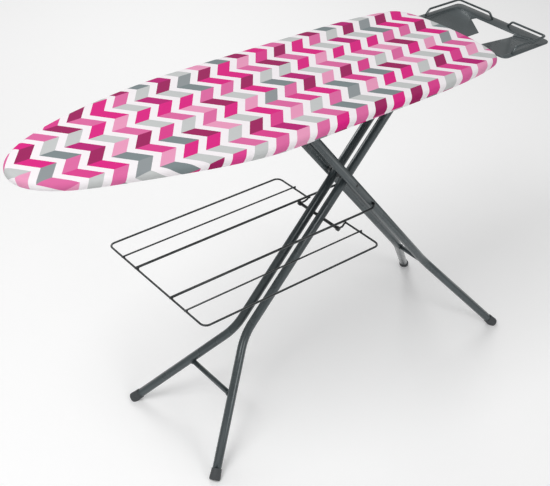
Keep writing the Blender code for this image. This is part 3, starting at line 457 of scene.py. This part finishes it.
stripes = (
    "SMMLPDRLKM",
    "DPSMSRKMSD",
    "KSVMPSDMSR",
    "VDSMLPLSPS",
    "SGKPDMSDRP",
    "LDMPSLMRVL",
    "KMMDMGPLSP",
    "DLPSKPRSPM",
    "MRDSVDMPKP",
    "PDPMSLKGSD",
)


def printed_cotton(hem_length):
    made, sockets, start = new_finish("printed_cotton", specular_ior_level=0.25)
    cloth = start.node("ShaderNodeUVMap", {}, uv_map="cloth")
    along = cloth.node("ShaderNodeSeparateXYZ", {"Vector": cloth}, output=0)
    across = cloth.node("ShaderNodeSeparateXYZ", {"Vector": cloth}, output=1)
    column = (print_top - across) / column_width
    fold = column.math("PINGPONG", column, 1.0)
    stripe = (along - print_start) / stripe_pitch + fold * fold_slant
    row = column.math("FLOOR", stripe) % 10.0
    inked = (stripe % 1.0) < band_share
    place = ((column.math("FLOOR", column) + 1.0) % 10.0 + 0.5) / 10.0
    color = None
    for index, letters in enumerate(stripes):
        stops = [(step / 10, inks[letter]) for step, letter in enumerate(letters)]
        shades = start.node("ShaderNodeValToRGB", {"Fac": place}, stops=stops)
        color = (row > index - 0.5).mix(color, shades) if color else shades
    ground = (0.900, 0.860, 0.885, 1.0)
    color = inked.mix(ground, color)
    warp = start.node(
        "ShaderNodeTexWave",
        {"Vector": cloth, "Scale": 420.0, "Distortion": 1.2, "Detail": 1.0},
        output=1,
        bands_direction="X",
    )
    weft = start.node(
        "ShaderNodeTexWave",
        {"Vector": cloth, "Scale": 420.0, "Distortion": 1.2, "Detail": 1.0},
        output=1,
        bands_direction="Y",
    )
    slub = start.node("ShaderNodeTexNoise", {"Vector": cloth, "Scale": 60.0, "Detail": 4.0})
    thread = warp * 0.5 + weft * 0.5
    shaded = (thread * 0.05 + slub * 0.05).mix(color, (0.22, 0.16, 0.19, 1.0))
    hem = start.node("ShaderNodeUVMap", {}, uv_map="hem")
    around = hem.node("ShaderNodeSeparateXYZ", {"Vector": hem}, output=0)
    depth = hem.node("ShaderNodeSeparateXYZ", {"Vector": hem}, output=1)
    stitch_count = round(hem_length / stitch_length)
    thread_on = ((around * stitch_count) % 1.0) < stitch_share
    stitch = thread_on * (depth > stitch_low) * (depth < stitch_high)
    shaded = (depth < hem_depth).mix(shaded, (0.80, 0.76, 0.78, 1.0))
    shaded = stitch.mix(shaded, (0.93, 0.91, 0.92, 1.0))
    feed(shaded, sockets["Base Color"])
    feed(0.78 + slub * 0.12, sockets["Roughness"])
    weave = thread + slub * 0.4 + stitch * 1.5
    bump = start.node("ShaderNodeBump", {"Height": weave, "Strength": 0.12, "Distance": 0.0003})
    feed(bump, sockets["Normal"])
    return made


def smooth_outline(points, count):
    """Evenly spaced points on a smooth closed curve through these."""
    closed = [points[-1], *points, points[0], points[1]]
    fine = []
    for before, start, end, after in zip(closed, closed[1:], closed[2:], closed[3:]):
        for step in range(12):
            t = step / 12
            fine.append(
                0.5 * (2 * start + (end - before) * t
                       + (2 * before - 5 * start + 4 * end - after) * t**2
                       + (3 * start - before - 3 * end + after) * t**3)
            )
    lengths = [(b - a).length for a, b in zip(fine, fine[1:] + fine[:1])]
    step = sum(lengths) / count
    even, travelled, target = [], 0.0, 0.0
    for point, following, length in zip(fine, fine[1:] + fine[:1], lengths):
        while target < travelled + length and len(even) < count:
            even.append(point.lerp(following, (target - travelled) / length))
            target += step
        travelled += length
    return even


cover_low, cover_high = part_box("cotton_cover")
flat_points = [Vector((v.co.x, v.co.y)) for v in frame["nodes"]["cotton_cover"].data.vertices]
hull = [flat_points[index] for index in convex_hull_2d(flat_points)]
hull = [p for p, q in zip(hull, hull[1:] + hull[:1]) if (p - q).length > 0.002]
if sum(a.cross(b) for a, b in zip(hull, hull[1:] + hull[:1])) < 0:
    hull.reverse()
columns = 800
edge = smooth_outline(hull, columns)
nose = min(range(columns), key=lambda index: edge[index].x)
edge = edge[nose:] + edge[:nose]
outward = []
for index in range(columns):
    run = edge[(index + 1) % columns] - edge[index - 1]
    outward.append(Vector((run.y, -run.x)).normalized())
gather_count = 170
gathers = [
    math.sin(index * 2 * math.pi * gather_count / columns + 1.7 * math.sin(index * 0.05))
    * (0.6 + 0.4 * math.sin(index * 0.031))
    for index in range(columns)
]

# Each ring: how far in from the edge, how far below the top, and how deep its gathers are.
drop = cover_high.z - cover_low.z
rings = (
    (0.0400, 0.0, 0.0),
    (0.0200, 0.0, 0.0),
    (0.0110, 0.0001, 0.0),
    (0.0075, 0.0006, 0.0),
    (0.0048, 0.0015, 0.0),
    (0.0028, 0.0028, 0.0),
    (0.0013, 0.0046, 0.00003),
    (0.0004, 0.0072, 0.00006),
    (0.0001, 0.0105, 0.0001),
    (0.0003, 0.0145, 0.00015),
    (0.0018, 0.0176, 0.0002),
    (0.0042, drop - 0.0007, 0.0003),
    (0.0080, drop - 0.0002, 0.0004),
    (0.0140, drop - 0.0002, 0.0005),
    (0.0195, drop - 0.0002, 0.0005),
)
reach = [0.0]
for (inset, fall, _), (next_inset, next_fall, _) in zip(rings, rings[1:]):
    reach.append(reach[-1] + math.hypot(next_inset - inset, next_fall - fall))

deselect()
bpy.ops.mesh.primitive_circle_add(vertices=columns, radius=0.3, fill_type="NOTHING")
cover = bpy.context.object
cover.name = "printed_cover"
shape = bmesh.new()
shape.from_mesh(cover.data)
shape.verts.ensure_lookup_table()
laid = shape.verts.layers.float_vector.new("laid")
hemmed = shape.verts.layers.float_vector.new("hemmed")
ring = list(shape.verts)
for depth, (inset, fall, fold) in zip(reach, rings):
    if depth:
        ends = [shape.verts.new() for _ in ring]
        for index in range(columns):
            after = (index + 1) % columns
            shape.faces.new((ring[index], ends[index], ends[after], ring[after]))
        ring = ends
    for index, vertex in enumerate(ring):
        place = edge[index] - outward[index] * (inset - gathers[index] * fold)
        lifted = (1.0 + gathers[index]) * fold * 0.4 if fall > drop / 2 else 0.0
        vertex.co = (place.x, place.y, cover_high.z - fall + lifted)
        start = edge[index] - outward[index] * rings[0][0]
        vertex[laid] = (*(start + outward[index] * depth), 0.0)
        vertex[hemmed] = (index / columns, reach[-1] - depth, 0.0)

# The flat top, in rows from the far side to the near side.
rows = 24
first_ring = [vertex for vertex in shape.verts][:columns]
before = [first_ring[0]]
for index in range(1, columns // 2):
    far, near = first_ring[columns - index], first_ring[index]
    row = [far]
    for step in range(1, rows):
        vertex = shape.verts.new(far.co.lerp(near.co, step / rows))
        vertex[laid] = (vertex.co.x, vertex.co.y, 0.0)
        vertex[hemmed] = (0.0, 1.0, 0.0)
        row.append(vertex)
    row.append(near)
    for step in range(rows):
        if len(before) == 1:
            shape.faces.new((before[0], row[step + 1], row[step]))
        else:
            shape.faces.new((before[step], before[step + 1], row[step + 1], row[step]))
    before = row
for step in range(rows):
    shape.faces.new((before[step], before[step + 1], first_ring[columns // 2]))
bmesh.ops.recalc_face_normals(shape, faces=shape.faces)
shape.to_mesh(cover.data)
shape.free()

# The cloth lies flat in one UV map, in metres, so that the print runs on over the edge.
# The other holds the way along the hem and the depth from the hem's end.
for name, source in (("cloth", "laid"), ("hem", "hemmed")):
    flat = cover.data.uv_layers.new(name=name)
    spots = cover.data.attributes[source].data
    for face in cover.data.polygons:
        around = [spots[corner].vector.x for corner in face.vertices]
        wraps = name == "hem" and max(around) - min(around) > 0.5
        for loop, corner in zip(face.loop_indices, face.vertices):
            spot = spots[corner].vector
            flat.data[loop].uv = (spot.x + (1.0 if wraps and spot.x < 0.5 else 0.0), spot.y)
hem_length = sum((a - b).length for a, b in zip(edge, edge[1:] + edge[:1]))
cover.data.materials.append(printed_cotton(hem_length))
deselect()
bpy.context.view_layer.objects.active = cover
cover.select_set(True)
thick = cover.modifiers.new("cloth", "SOLIDIFY")
thick.thickness = 0.0007
thick.offset = -1.0
bpy.ops.object.modifier_apply(modifier="cloth")
bpy.ops.object.shade_smooth_by_angle(angle=math.radians(60.0))
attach(cover, "board")
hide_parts("cotton_cover")


# Hem cord
# White braided cord that runs inside the hem and draws the cover tight under the rim.
cord_finish = moulded("white_cord", (0.74, 0.72, 0.70), 0.8, 0.3)
dressed("hem_cord", cord_finish, angle=60.0)
